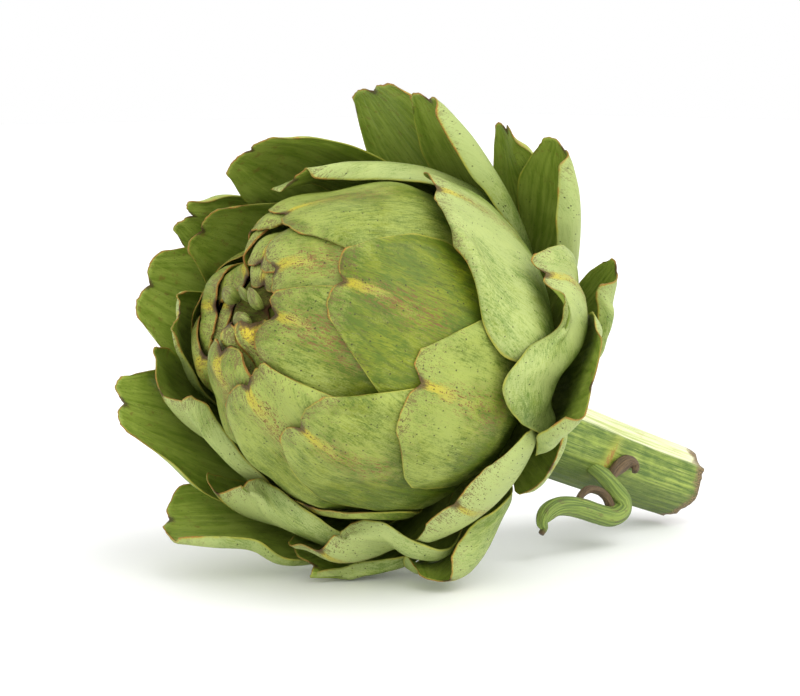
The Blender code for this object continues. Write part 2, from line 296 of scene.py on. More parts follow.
def bractSheet(shape, rib, seed):
    # v runs up the midrib, whose end has two lobes and a notch. u runs across on a section that
    # is bent by the cup, which grows evenly to its value at the tip, folded at the keel and rolled
    # at the margins; its heading is summed up to give the section. The lobes curl, the margins
    # wave, and the whole is turned to its place.
    rows = sheetGrid["across"]
    s = np.linspace(-1, 1, rows)[:, None]
    u = s + sheetGrid["crowding"] * np.sin(np.pi * s)
    v = np.linspace(0, 1, sheetGrid["along"])[None, :]
    flat = np.broadcast_to(u, (rows, sheetGrid["along"]))
    lobe = np.clip(1 - np.abs(u) ** leafShape["lobeRound"], 0, 1) ** leafShape["lobeSoft"]
    tipEdge = 1 - shape["shoulder"] + shape["shoulder"] * lobe
    fromNotch = np.abs(u - shape["notchAt"]) / leafShape["notchWidth"]
    tipEdge = tipEdge - shape["notch"] * np.exp(-fromNotch ** leafShape["notchPoint"])
    tipEdge = tipEdge * (1 + shape["skew"] * u) + leafShape["nibble"] * ripple(seed, u / 2, 3, 14)
    along = v * (1 + (tipEdge - 1) * ease(v, *leafShape["tipSpan"]))
    t = np.linspace(0, 1, 241)
    ribR, ribZ = rib(shape, t)
    slope = np.unwrap(np.arctan2(np.gradient(ribZ), np.gradient(ribR)))
    ribLength = np.hypot(np.diff(ribR), np.diff(ribZ)).sum()
    fromAxis = np.interp(along, t, ribR)
    alongAxis = np.interp(along, t, ribZ)
    heading = np.interp(along, t, slope)
    outline = np.interp(along, np.linspace(0, 1, 9), outlines[shape["outline"]])
    outline = soften(outline, 2)
    half = 0.5 * shape["width"] * outline * np.where(flat < 0, shape["sides"][0], shape["sides"][1])
    wobble = ripple(seed + 1, v / 2 + 0 * u, 3, 22) * (u < 0)
    wobble = wobble + ripple(seed + 2, v / 2 + 0 * u, 3, 22) * (u > 0)
    wobble = shape["ragged"] * wobble * ease(np.abs(u), 0.6, 1)
    half = half * (1 + wobble * ease(v, *leafShape["raggedSpan"]))
    cup = np.interp(along, (0, 1), (1, shape["cup"]))
    across = flat * half
    bend = across * cup / head["bulbRadius"]
    keel = radians(shape["keel"]) * np.tanh(flat / leafShape["keelWidth"])
    bend = bend + keel * ease(along, *leafShape["keelSpan"])
    rollIn = np.radians(shape["roll"][1]) * ease(flat, shape["rollFrom"], 1)
    rollIn = rollIn - np.radians(shape["roll"][0]) * ease(-flat, shape["rollFrom"], 1)
    bend = bend + rollIn * ease(along, shape["rollStart"], shape["rollStart"] + leafShape["rollLength"])
    step = np.gradient(across, axis=0)
    x = np.cumsum(np.cos(bend) * step, axis=0)
    y = np.cumsum(np.sin(bend) * step, axis=0)
    middle = rows // 2
    x = x - x[middle:middle + 1]
    y = y - y[middle:middle + 1]
    curl = np.where(flat < 0, shape["curl"][0], shape["curl"][1])
    curl = curl * ease(np.abs(flat), 0, leafShape["curlWidth"]) + shape["tipCurl"]
    y = y + curl * ease(along, *leafShape["curlSpan"]) ** 1.5
    toEnd = np.minimum((1 - np.abs(flat)) * half, (1 - v) * ribLength)
    fold = shape["fold"] * (1 - ease(toEnd, 0, shape["foldReach"])) ** 1.3
    y = y + fold * ease(along, *leafShape["foldSpan"])
    twist = radians(shape["twist"]) * along
    turned = x * np.cos(twist) - y * np.sin(twist)
    y = x * np.sin(twist) + y * np.cos(twist)
    x = turned + shape["sway"] * along ** 2
    waving = ripple(seed + 3, along * 0.5 + 0.12 * flat, 2, 7) * np.abs(flat) ** 2
    y = y + shape["wave"] * waving * ease(along, *leafShape["waveSpan"])
    buckle = ripple(seed + 4, along * 0.5, 1, 5) * ripple(seed + 5, flat / 2, 1, 3)
    y = y + leafShape["buckle"] * buckle
    radial = fromAxis - y * np.sin(heading)
    height = alongAxis + y * np.cos(heading)
    a = radians(shape["turn"])
    upward = radial * cos(a) - x * sin(a)
    sideways = -radial * sin(a) - x * cos(a)
    return np.stack([upward, sideways, height], axis=-1), flat, along, half


def shellFaces(rows, columns):
    # quads of the inner grid, of the outer grid turned the other way, and of the rim round both
    corner = (np.arange(rows - 1)[:, None] * columns + np.arange(columns - 1)[None, :]).ravel()
    inner = np.stack([corner, corner + 1, corner + columns + 1, corner + columns], axis=-1)
    outer = inner[:, ::-1] + rows * columns
    index = np.arange(rows * columns).reshape(rows, columns)
    rim = np.concatenate([index[:, 0], index[-1, 1:], index[-2::-1, -1], index[0, -2:0:-1]])
    following = np.roll(rim, -1)
    edge = np.stack([rim, following, following + rows * columns, rim + rows * columns], axis=-1)
    return np.concatenate([inner, outer, edge])


def newObject(name, data):
    # an object in the scene with that data
    made = bpy.data.objects.new(name, data)
    bpy.context.scene.collection.objects.link(made)
    return made


def newMesh(name, points, faces, notes):
    # fills a mesh from whole arrays; notes are vectors kept at each point for the material
    mesh = bpy.data.meshes.new(name)
    mesh.from_pydata(points.reshape(-1, 3).tolist(), [], faces)
    for label, values in notes.items():
        kept = mesh.attributes.new(label, "FLOAT_VECTOR", "POINT")
        kept.data.foreach_set("vector", values.astype(np.float32).ravel())
    mesh.shade_smooth()
    return mesh


def newPiece(name, mesh, look, node):
    # shows the mesh in place of its CAD node
    mesh.materials.append(look)
    made = newObject(name, mesh)
    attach(made, "root")
    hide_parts(node)


def bractPiece(node, shape, sheet, thickness, flat, along, half, number):
    # a closed leaf: its inner face, its outer face and the rim between them
    outer = skin(sheet, thickness)
    rows, columns = flat.shape
    length = np.linalg.norm(np.diff(sheet, axis=1), axis=-1)
    length = np.concatenate([np.zeros((rows, 1)), np.cumsum(length, axis=1)], axis=1)
    toTip = length[:, -1:] - length
    toSide = (1 - np.abs(flat)) * half
    margin = 1 / np.sqrt(1 / np.maximum(toTip, 0.02) ** 2 + 1 / np.maximum(toSide, 0.02) ** 2)
    seed = np.full_like(flat, number * 7.3)
    one = np.ones_like(flat)
    place = np.stack([flat * half, length, seed], axis=-1)
    share = np.stack([flat, along, 0 * one], axis=-1)
    edge = np.stack([margin, toTip, shape["bloom"] * one], axis=-1)
    marks = np.stack([shape["streak"] * one, shape["brown"] * one, shape["specks"] * one], axis=-1)
    notes = {
        "leafPlace": np.stack([place, place + np.array([0, 0, 3.1])]),
        "leafShare": np.stack([share, share + np.array([0, 0, 1.0])]),
        "leafEdge": np.stack([edge, edge]),
        "leafMarks": np.stack([marks, marks]),
    }
    points = toWorld(np.stack([sheet, outer]))
    return newMesh(node + "_leaf", points, shellFaces(rows, columns).tolist(), notes)


# ---- materials

def tone(red, green, blue):
    # an everyday 0 to 255 colour as the linear one that a shader takes
    share = np.array([red, green, blue]) / 255
    linear = np.where(share < 0.04045, share / 12.92, ((share + 0.055) / 1.055) ** 2.4)
    return (*[float(value) for value in linear], 1.0)


def operator(operation, turned=False):
    # a method that adds a Math node, with its two values the other way round if turned
    if turned:
        return lambda self, other: self.maths(operation, other, self)
    return lambda self, other: self.maths(operation, self, other)


class Flow:
    # a number or vector flowing through a material: arithmetic on it adds Math nodes
    __add__ = operator("ADD")
    __radd__ = operator("ADD", True)
    __sub__ = operator("SUBTRACT")
    __rsub__ = operator("SUBTRACT", True)
    __mul__ = operator("MULTIPLY")
    __rmul__ = operator("MULTIPLY", True)
    __truediv__ = operator("DIVIDE")
    __pow__ = operator("POWER")
    below = operator("MINIMUM")

    def __init__(self, look, socket):
        self.look = look
        self.socket = socket

    def maths(self, operation, *values):
        return self.look.node("ShaderNodeMath", {"operation": operation}, dict(enumerate(values)))

    def hump(self, width):
        # e to the power of minus the square of value over width
        return self.maths("EXPONENT", self * self * (-1 / width ** 2))

    def rise(self, start, end):
        # 0 at start, 1 at end and smooth between them, and it falls where end is under start
        settings = {"interpolation_type": "SMOOTHSTEP"}
        if end < start:
            values = {0: self, 1: end, 2: start, 3: 1.0, 4: 0.0}
        else:
            values = {0: self, 1: start, 2: end, 3: 0.0, 4: 1.0}
        return self.look.node("ShaderNodeMapRange", settings, values)


class Look:
    # a material and the helpers that add nodes to it
    def __init__(self, name):
        self.material = bpy.data.materials.new(name)
        self.material.use_nodes = True
        self.tree = self.material.node_tree
        self.shader = self.tree.nodes["Principled BSDF"]

    def node(self, kind, settings, values, output=0):
        made = self.tree.nodes.new(kind)
        for key, value in settings.items():
            setattr(made, key, value)
        for key, value in values.items():
            self.feed(made.inputs[key], value)
        return Flow(self, made.outputs[output])

    def feed(self, socket, value):
        if isinstance(value, Flow):
            self.tree.links.new(value.socket, socket)
        else:
            socket.default_value = value

    def attribute(self, name):
        return self.node("ShaderNodeAttribute", {"attribute_name": name}, {}, 1)

    def split(self, vector):
        return [self.node("ShaderNodeSeparateXYZ", {}, {0: vector}, part) for part in range(3)]

    def stretch(self, vector, share):
        return self.node("ShaderNodeVectorMath", {"operation": "MULTIPLY"}, {0: vector, 1: share})

    def noise(self, vector, share, detail=4, roughness=0.6, distortion=0):
        values = {"Vector": self.stretch(vector, share), "Scale": 1.0, "Detail": detail}
        values["Roughness"] = roughness
        values["Distortion"] = distortion
        return self.node("ShaderNodeTexNoise", {}, values)

    def mix(self, share, *colours):
        # from the first colour to the second by the share
        first, second = [each if isinstance(each, Flow) else tone(*each) for each in colours]
        settings = {"data_type": "RGBA"}
        return self.node("ShaderNodeMix", settings, {0: share, 6: first, 7: second}, 2)

    def finish(self, colour, roughness, height, strength, distance):
        # feeds the shader its colour, its roughness and the normal of a bump
        values = {"Strength": strength, "Distance": distance, "Height": height}
        self.feed(self.shader.inputs["Base Color"], colour)
        self.feed(self.shader.inputs["Roughness"], roughness)
        self.feed(self.shader.inputs["Normal"], self.node("ShaderNodeBump", {}, values))
        return self.material


def bractLook(name, paint):
    # The outer face is cool and warm green in lengthwise flecks under a grainy waxy bloom, with a
    # painted highlight that makes it paler down the middle of the leaf, and with painted shade that
    # deepens the green towards the foot, where the bract runs under those above it. From the notch a
    # yellow streak runs down, breaking up into grains with brown ones between them, and towards the tip
    # come dots and stains. The inner face is smoother with faint veins. A thin line runs round both,
    # worn brown about the tip.
    look = Look(name)
    place = look.attribute("leafPlace")
    across, length, seed = look.split(place)
    u, v, outer = look.split(look.attribute("leafShare"))
    margin, toTip, bloom = look.split(look.attribute("leafEdge"))
    streak, brown, specks = look.split(look.attribute("leafMarks"))
    fibre = look.noise(place, (1.9, 0.1, 1))
    fleck = look.noise(place, (1.3, 0.22, 1), 4, 0.65)
    fine = look.noise(place, (3.4, 0.42, 1), 3, 0.65)
    mottle = look.noise(place, (0.24, 0.1, 1), 5, 0.65, 0.5)
    cloud = look.noise(place, (0.09, 0.06, 1), 3, 0.5, 0.4)
    grain = look.noise(place, (2.7, 2.4, 1), 3, 0.7)
    blot = look.noise(place, (0.42, 0.3, 1))
    veinPlace = look.node("ShaderNodeCombineXYZ", {}, {0: u * 13, 1: length * 0.02, 2: seed})
    vein = look.noise(veinPlace, (1, 1, 1), 2, 0.5)

    warm = (mottle * 1.5 + fleck * 1.2 + fibre * 0.8 + fine * 1.2 - 2.35).rise(-0.3, 0.34)
    green = look.mix(warm, paint["cool"], paint["warm"])
    # painted shade: the term that rises towards the foot darkens the green where the bract runs under those
    # above it; the rest of deep is the leaf's own darker flecks
    deep = vein * 0.7 + fibre * 1 + fleck * 1 + fine * 1.4 - 2.05 + v.rise(0.7, 0.3) * 0.25
    green = look.mix(deep.rise(-0.05, 0.3) * paint["deepShare"], green, paint["deep"])
    grey = toTip.rise(15, 2) * 0.22 + margin.rise(5, 0.5) * 0.1
    waxy = cloud * 2 + grain * 1.4 + fine * 1.6 + fleck * 0.9 + mottle * 0.8 - 3.43 + bloom + grey
    # painted highlight: the bloom is made paler down the middle of the upper half of the leaf, where the
    # broad light shines on its curve
    crownHighlight = (u * u).rise(0.35, 0) * v.rise(0.45, 0.8) * paint["crownHighlight"]
    waxy = waxy + crownHighlight - v.rise(0.8, 0.4) * 0.35
    waxy = waxy.rise(-0.4, 0.75)
    green = look.mix(waxy * paint["bloomShare"], green, paint["bloom"])

    ridge = (across / (toTip * 0.09 + 1.1)).hump(1) * toTip.rise(32, 2)
    broken = (fleck - 0.5) * 1.8 + (fine - 0.5) * 1.6 + (grain - 0.5) * 1.2
    ridge = (ridge * 1.3 + broken - 0.36).rise(0, 0.8) * ridge.rise(0.02, 0.4) * streak
    gold = look.mix((toTip + grain * 4).rise(13, 4), paint["streak"], paint["notch"])
    green = look.mix(ridge * (toTip.rise(24, 3) * 0.5 + 0.4), green, gold)
    crumbs = (grain * 0.7 + fine * 0.9).rise(0.8, 0.96) * (across / (toTip * 0.12 + 1.4)).hump(1)
    crumbs = crumbs * toTip.rise(34, 24) * toTip.rise(4, 10)
    green = look.mix((crumbs * brown * 2.4).below(0.85), green, paint["scratch"])

    near = toTip.rise(22, 2) * 0.5 + margin.rise(4, 0.5) * 0.3
    dotPlace = look.stretch(place, (0.74, 0.6, 1))
    dots = look.node("ShaderNodeTexVoronoi", {}, {"Vector": dotPlace, "Scale": 1})
    dots = (dots + grain * 0.2 - 0.1).rise(0.19, 0.08) * (blot + near * 0.3).rise(0.42, 0.58)
    dots = dots * specks * 1.8
    green = look.mix(dots.below(0.9), green, paint["speck"])
    stain = grain * 1.7 + blot * 0.7 + fine * 1.3 + near * 0.34 - 2.25
    stain = stain + toTip.rise(9, 0) * 0.12 + brown * 0.07
    stain = (stain.rise(0, 0.13) * near.rise(0.05, 0.5) * brown * 1.6).below(1)
    green = look.mix(stain * paint["stainShare"], green, paint["stain"])

    dark = (vein * 0.8 + fibre * 0.5 + mottle * 0.9 + fleck * 0.4 - 1).rise(0, 0.6)
    dark = look.mix(dark, paint["innerDeep"], paint["inner"])
    dark = look.mix(v.rise(0.45, 0) * 0.8, dark, paint["innerFoot"])
    dark = look.mix((dots * 0.5).below(0.5), dark, paint["speck"])
    blotch = (blot.rise(0.58, 0.7) * v.rise(0.6, 1) * brown).below(0.5)
    dark = look.mix(blotch, dark, paint["scratch"])
    body = look.mix(outer.rise(0.3, 0.7), dark, green)

    patch = look.noise(place, (0.16, 0.16, 1), 2, 0.5)
    line = (margin + (grain - 0.5) * 0.6).rise(0.62, 0.16) * (patch.rise(0.36, 0.6) * 0.55 + 0.3)
    body = look.mix(line, body, paint["line"])
    worn = brown * 0.5 + toTip.rise(14, 3) * 0.65 + (patch - 0.5) * 2.8 - 0.4
    worn = worn.rise(0, 0.7)
    band = (margin - worn * 0.14 - (grain - 0.5) * 1 * worn).rise(0.26, -0.04) * worn
    bark = look.mix(grain.rise(0.38, 0.6), paint["wornDark"], paint["worn"])
    body = look.mix(band * 0.85, body, bark)
    bite = (across * across + toTip * toTip) ** 0.5 + (grain - 0.5) * 3
    bite = bite.rise(2.4, 0.9) * (brown + 0.3).below(1)
    body = look.mix(bite * 0.9, body, paint["bite"])
    look.shader.inputs["Specular IOR Level"].default_value = paint["gloss"]
    rough = paint["roughness"] + (fibre - 0.5) * 0.25 + waxy * 0.08 + band * 0.1 - (1 - outer) * 0.12
    height = fibre * 0.5 + vein * 0.7 + fleck * 0.35 + fine * 0.25 + grain * 0.2 + ridge * 0.3 - band * 0.4
    return look.finish(body, rough, height, paint["bump"], 0.0005)


leafPaint = {
    "cool": (82, 103, 14),
    "warm": (126, 136, 22),
    "deep": (40, 62, 8),
    "deepShare": 0.65,
    "bloom": (158, 171, 84),
    "bloomShare": 0.8,
    "crownHighlight": 0.0,
    "streak": (172, 168, 74),
    "notch": (190, 172, 38),
    "scratch": (118, 80, 40),
    "speck": (50, 46, 20),
    "inner": (146, 163, 68),
    "innerDeep": (108, 130, 38),
    "innerFoot": (150, 166, 72),
    "line": (176, 174, 66),
    "worn": (176, 116, 50),
    "wornDark": (108, 64, 28),
    "bite": (62, 42, 26),
    "stain": (92, 62, 36),
    "stainShare": 0.7,
    "roughness": 0.52,
    "bump": 0.6,
    "gloss": 0.36,
}
# the young bracts' own dull brown green, made darker still as painted shade for the deep pit round the buds
youngShadedPaint = {
    **leafPaint,
    "cool": (64, 76, 22),
    "warm": (92, 94, 34),
    "deep": (38, 42, 12),
    "bloom": (104, 106, 52),
    "scratch": (66, 46, 24),
    "stain": (58, 42, 24),
    "line": (70, 60, 26),
    "worn": (98, 70, 36),
    "roughness": 0.78,
    "gloss": 0.05,
}
waxyPaint = {
    **leafPaint,
    "cool": (98, 124, 42),
    "warm": (138, 152, 50),
    "deep": (76, 104, 34),
    "bloom": (178, 191, 118),
    # the waxy bracts get a painted highlight down the middle of each leaf, by this share
    "crownHighlight": 0.28,
}
openPaint = {**waxyPaint, "bloom": (172, 186, 114), "stainShare": 0.4}
bractLooks = {
    "inner": bractLook("young bract brown and painted shade", youngShadedPaint),
    "closed": bractLook("closed bract green", leafPaint),
    "leaning": bractLook("leaning bract green", waxyPaint),
    "open": bractLook("open bract green", openPaint),
}
print("materials made")

# ---- the bracts, each with its own dictionary. turn is measured around the axis from the top
# towards the near side. What a bract doesn't state comes from the plain one of its kind.

plainBract = {
    "flat": False,
    "outline": "broad",
    "sides": (1, 1),
    "notch": 0.045,
    "notchAt": 0,
    "shoulder": 0.035,
    "skew": 0,
    "ragged": 0.02,
    "cup": 1,
    "keel": 0,
    "roll": (0, 0),
    "rollFrom": 0.5,
    "rollStart": 0.3,
    "curl": (0, 0),
    "tipCurl": 0,
    "fold": 0.5,
    "foldReach": 4,
    "thick": 1,
    "twist": 0,
    "sway": 0,
    "wave": 0.6,
    "bloom": 0.3,
    "streak": 0.8,
    "brown": 0.6,
    "specks": 0.5,
}
plainInner = {
    **plainBract, "kind": "inner", "slot": "closed_bract", "flat": True, "depth": 8, "bloom": -0.2,
    "streak": 0, "brown": 1.5,
}
plainClosed = {
    **plainBract, "kind": "closed", "slot": "closed_bract", "flat": True, "depth": 6, "tipCurl": 0.3,
    "wave": 0.3,
}
plainLeaning = {
    **plainBract, "kind": "leaning", "slot": "leaning_bract", "foot": (26, -35.5), "notch": 0.035,
    "cup": 1.5, "rollFrom": 0.05, "bloom": 0.5,
}
plainOpen = {
    **plainBract, "kind": "open", "slot": "open_bract", "foot": (18, -43), "outline": "long",
    "notch": 0.035,
}

innerBracts = {
    1: {"turn": 30, "tip": -13, "foot": 44, "width": 26},
    2: {"turn": 150, "tip": -9, "foot": 44, "width": 26},
    3: {"turn": 268, "tip": -7, "foot": 46, "width": 26},
}
tipRing = {"fold": 2, "thick": 1.5, "brown": 1.7}
upperRing = {"fold": 1.8, "foldReach": 5, "thick": 1.4, "brown": 1.4}
shoulderRing = {"fold": 1.4, "foldReach": 5, "thick": 1.2, "brown": 1.15}
closedBracts = {
    1: {**tipRing, "turn": 204, "tip": 7, "foot": 50, "width": 16},
    2: {**tipRing, "turn": 146, "tip": 6, "foot": 55, "width": 13, "fold": 1.6, "thick": 1.4, "streak": 1.5},
    3: {**tipRing, "turn": 5, "tip": 6, "foot": 58, "width": 26},
    4: {**tipRing, "turn": 272, "tip": 24, "foot": 62, "width": 24},
    5: {**upperRing, "turn": 85, "tip": 9, "foot": 80, "width": 30, "bloom": 0.2, "brown": 1.3},
    6: {**upperRing, "turn": 12, "tip": 11, "foot": 84, "width": 30, "sway": -3.5},
    7: {**upperRing, "turn": 192, "tip": 13, "foot": 88, "width": 26, "fold": 2.4, "foldReach": 7},
    8: {**upperRing, "turn": 310, "tip": 19, "foot": 95, "width": 38, "sway": -2, "fold": 3, "foldReach": 8},
    9: {**upperRing, "turn": 270, "tip": 27, "foot": 100, "width": 34, "fold": 3, "foldReach": 8},
    11: {**shoulderRing, "turn": 60, "tip": 9, "foot": 112, "width": 44, "sway": -5},
    10: {**shoulderRing, "turn": 99, "tip": 9, "foot": 108, "width": 44, "sides": (0.6, 1), "bloom": 0.15},
    12: {
        **shoulderRing, "turn": 156, "tip": 22, "foot": 112, "width": 44, "sway": 3, "skew": -0.05,
        "bloom": 0.5,
    },
    13: {
        **shoulderRing, "turn": 241, "tip": 34, "foot": 114, "width": 48, "sides": (0.6, 0.9), "skew": -0.04,
        "bloom": 0.5,
    },
    14: {
        **shoulderRing, "turn": 346, "tip": 29, "foot": 116, "width": 44, "sides": (1, 1.2), "sway": -9,
        "skew": 0.04, "bloom": 0.4,
    },
    15: {"turn": 283, "tip": 42, "foot": 120, "width": 46},
    16: {
        "turn": 27, "tip": 25, "foot": 118, "width": 50, "sides": (1, 1.42), "sway": -14, "fold": 0.9,
        "bloom": 0.35,
    },
    17: {"turn": 212, "tip": 76, "foot": 122, "width": 40, "bloom": 0.5},
    18: {"turn": 84, "tip": 31, "foot": 120, "width": 50, "sides": (0.8, 0.92), "sway": -6.5, "bloom": -0.2},
    19: {"turn": 135, "tip": 41, "foot": 124, "width": 50, "sides": (1, 0.9), "sway": 4.5, "bloom": 0.25},
    20: {"turn": 250, "tip": 66, "foot": 128, "width": 48, "bloom": 0.4},
    21: {
        "turn": 102, "tip": 61.6, "foot": 130, "width": 48, "sides": (0.85, 1.05), "skew": -0.03,
        "notch": 0.06, "bloom": 0.4,
    },
    22: {"turn": 32, "tip": 84, "foot": 130, "width": 46},
    23: {"turn": 325, "tip": 80, "foot": 130, "width": 48},
    24: {"turn": 185, "tip": 84, "foot": 130, "width": 44},
}
leaningBracts = {
    1: {
        "turn": 263, "tip": (31, 45), "slope": 128, "width": 48, "sides": (0.75, 0.55), "cup": 2, "keel": 16,
        "roll": (24, 10),
    },
    2: {
        "turn": 298, "tip": (43.5, 42.5), "slope": 108, "width": 50, "sides": (0.75, 0.88), "cup": 1.1,
        "wave": 1.2, "bloom": 0.3,
    },
    3: {
        "flat": True, "turn": 352, "tip": (42.5, 38), "slope": 116, "foot": (19, -35.5), "width": 48,
        "sides": (0.9, 1.1), "sway": -8, "skew": -0.1, "notch": 0.02, "keel": 14, "roll": (0, 10),
        "twist": 42, "curl": (3, 0), "bloom": 0.8,
    },
    4: {
        "turn": 231, "tip": (41.6, 43.7), "slope": 122, "width": 46, "outline": "fan", "sides": (1.35, 0.9),
        "cup": 2, "keel": 20, "roll": (12, 0), "twist": -25,
    },
    5: {
        "turn": 48, "tip": (47, 20), "slope": 118, "width": 58, "outline": "fan", "sides": (0.68, 1.4),
        "sway": -14.5, "skew": 0.08, "cup": 1.4, "keel": 12, "tipCurl": -2, "bloom": 0.4,
    },
    6: {
        "turn": 207, "tip": (53.8, 21.2), "slope": 115, "width": 48, "outline": "square",
        "sides": (1.4, 0.55), "cup": 2.2, "keel": 24, "roll": (8, 0), "twist": -28,
    },
    7: {
        "turn": 133, "tip": (51.2, -8.5), "slope": 111, "width": 48, "outline": "blunt",
        "sides": (1.15, 0.95), "cup": 1, "bloom": 0.75,
    },
    8: {
        "turn": 178, "tip": (56, 2), "slope": 105, "width": 44, "outline": "square", "sides": (1.15, 1),
        "cup": 2.2, "keel": 26, "roll": (18, 0), "twist": -28, "bloom": 0.6,
    },
    9: {
        "turn": 64, "tip": (60, 3), "slope": 115, "width": 50, "sides": (0.55, 1.6), "notch": 0.09,
        "notchAt": -0.05, "cup": 1.8, "keel": 14, "twist": 34,
    },
}
openBracts = {
    1: {
        "turn": 88, "tip": (72, -14), "slope": 25, "width": 46, "outline": "square", "sides": (0.9, 0.85),
        "roll": (0, 85), "rollFrom": 0.62, "wave": 2, "bloom": 0.8,
    },
    2: {
        "turn": 327, "tip": (48.6, 45.6), "slope": 100, "width": 50, "outline": "blunt",
        "sides": (0.88, 0.75), "sway": 5, "notch": 0.02, "cup": 0.8,
    },
    3: {
        "turn": 301, "tip": (45.2, 45.4), "slope": 98, "width": 40, "sides": (1, 0.6), "cup": 1.1,
        "twist": 40,
    },
    4: {
        "turn": 8, "tip": (72.3, 16.8), "slope": 68, "width": 40, "sides": (0.8, 1), "cup": 2.1,
        "roll": (0, 60), "rollFrom": 0.55, "bloom": 0.7,
    },
    5: {
        "turn": 30, "tip": (78.3, -11.5), "slope": 52, "width": 38, "sides": (0.95, 0.9), "cup": 2.2,
        "keel": 6, "roll": (0, 75), "bloom": 0.7,
    },
    6: {
        "turn": 187, "tip": (60.5, -5.3), "slope": 80, "width": 42, "sides": (0.85, 1), "cup": 2, "keel": 28,
        "roll": (30, 0), "rollFrom": 0.05, "twist": -28,
    },
    7: {
        "turn": 152, "tip": (63, -22), "slope": 66, "width": 42, "sides": (0.8, 1), "cup": 2, "keel": 20,
        "roll": (50, 0), "rollFrom": 0,
    },
    8: {
        "turn": 350, "tip": (74.2, 17.6), "slope": 68, "width": 40, "sides": (0.9, 1), "notch": 0.025,
        "cup": 1.2,
    },
    9: {"turn": 112, "tip": (47, -36), "slope": 50, "width": 26, "cup": 1.7},
    10: {
        "turn": 56, "tip": (68.6, -26.7), "slope": 35, "width": 38, "sides": (0.45, 1), "cup": 2, "keel": 10,
        "roll": (0, 70), "rollFrom": 0.3,
    },
    11: {"turn": 14, "tip": (74.2, -8), "slope": 50, "width": 22, "sides": (0.95, 0.45), "cup": 1.2},
    12: {"turn": 274, "tip": (58.5, 41), "slope": 92, "width": 46},
    13: {"turn": 237, "tip": (58, 45), "slope": 88, "width": 46, "sides": (1, 0.8), "cup": 1.3},
    14: {
        "turn": 213, "tip": (71.7, 25), "slope": 70, "width": 44, "outline": "fan", "sides": (1, 0.6),
        "skew": -0.08, "cup": 1.4, "keel": 4, "roll": (70, 0), "rollFrom": 0.8,
    },
    15: {"turn": 256, "tip": (72, -10), "slope": 50, "width": 44},
    16: {"turn": 318, "tip": (72, -6), "slope": 50, "width": 44},
}


def placeBracts(bracts, plain, rib, reach, firstNumber):
    # each bract in turn is bent to shape, settled on those under it and added to the map
    for number, (place, own) in enumerate(bracts.items(), firstNumber):
        shape = {**plain, **own}
        node = f"{shape['kind']}_bract_{place}"
        thickness = shape["thick"] * wall()
        sheet, flat, along, half = bractSheet(shape, rib, number * 10)
        sheet = press(settle(sheet, thickness, reach), thickness)
        addToMap(reach, skin(sheet, thickness), 3)
        if shape["flat"]:
            sheet = flatten(sheet)
        mesh = bractPiece(node, shape, sheet, thickness, flat, along, half, number)
        newPiece(node + "_leaf", mesh, bractLooks[shape["kind"]], node)
    return firstNumber + len(bracts)


# ---- buds

buds = {
    1: {"turn": 85, "fromAxis": 2.2, "radius": 1.9, "length": 6.4, "lean": 26, "leanTo": 355},
    2: {"turn": 310, "fromAxis": 2.2, "radius": 1.3, "length": 5.6, "lean": 20, "leanTo": 350},
    3: {"turn": 280, "fromAxis": 7.8, "radius": 2.5, "length": 6.4, "lean": 14, "leanTo": 60},
    4: {"turn": 180, "fromAxis": 4.6, "radius": 2.7, "length": 5.6, "lean": 16, "leanTo": 350},
}
budShape = {"around": 33, "along": 21, "gap": 0.1, "cleftDepth": 0.16, "cleftWidth": 0.35}


def budSurface(shape, reach):
    # a pointed egg: around runs round it and up runs to its point, with a shallow cleft
    a = radians(shape["turn"])
    fromAxis = shape["fromAxis"]
    out = np.array([fromAxis * cos(a), -fromAxis * sin(a), heart["radius"]])
    out = out / np.linalg.norm(out)
    side = np.cross(out, [0.0, 1.0, 0.0])
    side = side / np.linalg.norm(side)
    other = np.cross(out, side)
    w = np.linspace(0, 2 * np.pi, budShape["around"])[:, None]
    t = np.linspace(0.0, 1.0, budShape["along"])[None, :]
    swell = np.sin(np.pi * (0.03 + 0.94 * t) ** 1.25) ** 0.55
    cleft = budShape["cleftDepth"] * np.exp(-((w - np.pi) / budShape["cleftWidth"]) ** 2) * t
    radius = shape["radius"] * swell * (1 - cleft)
    ring = np.cos(w)[..., None] * side + np.sin(w)[..., None] * other
    foot = float(readMap(reach, out * heart["radius"])) + budShape["gap"]
    b = radians(shape["leanTo"])
    lean = tan(radians(shape["lean"])) * np.array([cos(b), -sin(b), 0.0])
    rib = foot * out + (shape["length"] * t)[..., None] * (out + lean * t[..., None])
    return radius[..., None] * ring + rib, w + 0 * t, t + 0 * w


def tubeMesh(name, points, notes):
    # a tube whose first and last rows are the same seam and whose ends are closed by a fan
    rows, columns = points.shape[:2]
    ends = np.stack([points[:-1, 0].mean(axis=0), points[:-1, -1].mean(axis=0)])
    index = np.arange((rows - 1) * columns).reshape(rows - 1, columns)
    following = np.roll(index, -1, axis=0)
    quads = np.stack([index[:, :-1], following[:, :-1], following[:, 1:], index[:, 1:]], axis=-1)
    first = (rows - 1) * columns
    bottom = np.stack([index[:, 0], np.full(rows - 1, first), following[:, 0]], axis=-1)
    top = np.stack([index[:, -1], following[:, -1], np.full(rows - 1, first + 1)], axis=-1)
    faces = quads.reshape(-1, 4).tolist() + bottom.tolist() + top.tolist()
    everything = np.concatenate([points[:-1].reshape(-1, 3), ends])
    kept = {}
    for label, values in notes.items():
        middles = np.stack([values[:-1, 0].mean(axis=0), values[:-1, -1].mean(axis=0)])
        kept[label] = np.concatenate([values[:-1].reshape(-1, 3), middles])
    return newMesh(name, everything, faces, kept)


